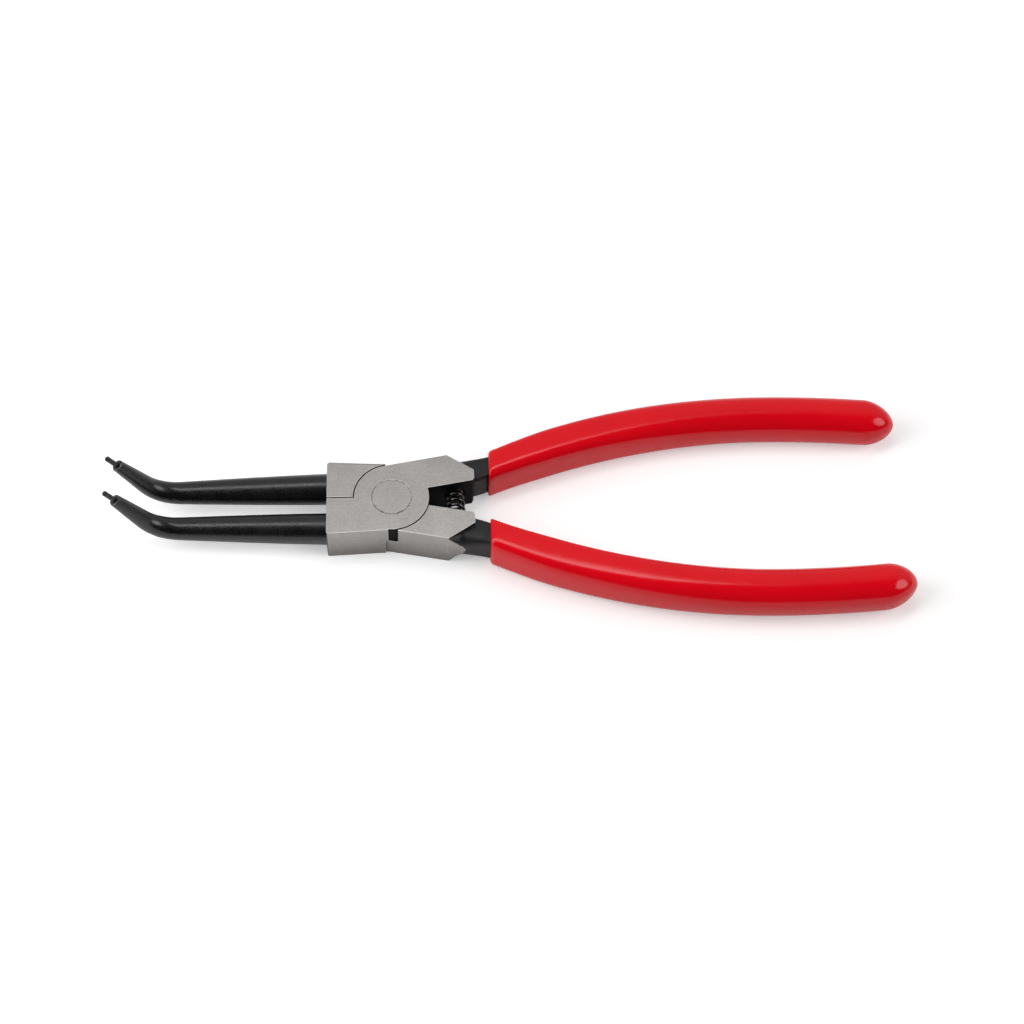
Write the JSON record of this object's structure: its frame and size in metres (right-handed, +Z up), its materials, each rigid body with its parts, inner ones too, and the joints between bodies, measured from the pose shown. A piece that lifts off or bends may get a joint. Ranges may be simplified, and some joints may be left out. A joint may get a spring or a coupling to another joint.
{
  "type": "circlip pliers",
  "caption": "Bent-nose pliers with round pin tips for circlips in bores: half-lapped steel levers on a flush rivet, a coil spring that opens them, and dipped red grips.",
  "frame": {"origin": "on the pivot axis, at the ground underside of the head", "axes": "+X towards the grips, -X towards the tips, +Z up through the head, the way the tips bend, and +Y from the near handle in the picture to the far one"},
  "size_m": [0.1806, 0.056, 0.0207],
  "materials": {
    "lever_steel": "black phosphate, with the faces and sides of the head ground bright",
    "tip_steel": "black phosphate",
    "rivet_steel": "ground flush with the head",
    "spring_steel": "oiled black wire",
    "grip_vinyl": "glossy dip-moulded vinyl"
  },
  "bodies": {
    "upper_half": {"upper_lever": "lever_steel", "upper_tip": "tip_steel", "upper_grip": "grip_vinyl", "pivot_rivet": "rivet_steel", "opening_spring": "spring_steel"},
    "lower_half": {"lower_lever": "lever_steel", "lower_tip": "tip_steel", "lower_grip": "grip_vinyl"}
  },
  "joints": [
    {"name": "pivot", "type": "hinge", "parent": "upper_half", "child": "lower_half", "pos_m": [0, 0, 0.0049], "axis": [0, 0, -1], "range_deg": [0, 12], "stiffness_Nm_per_rad": 2.6, "springref_deg": 16.04, "deforming": ["opening_spring"]}
  ]
}
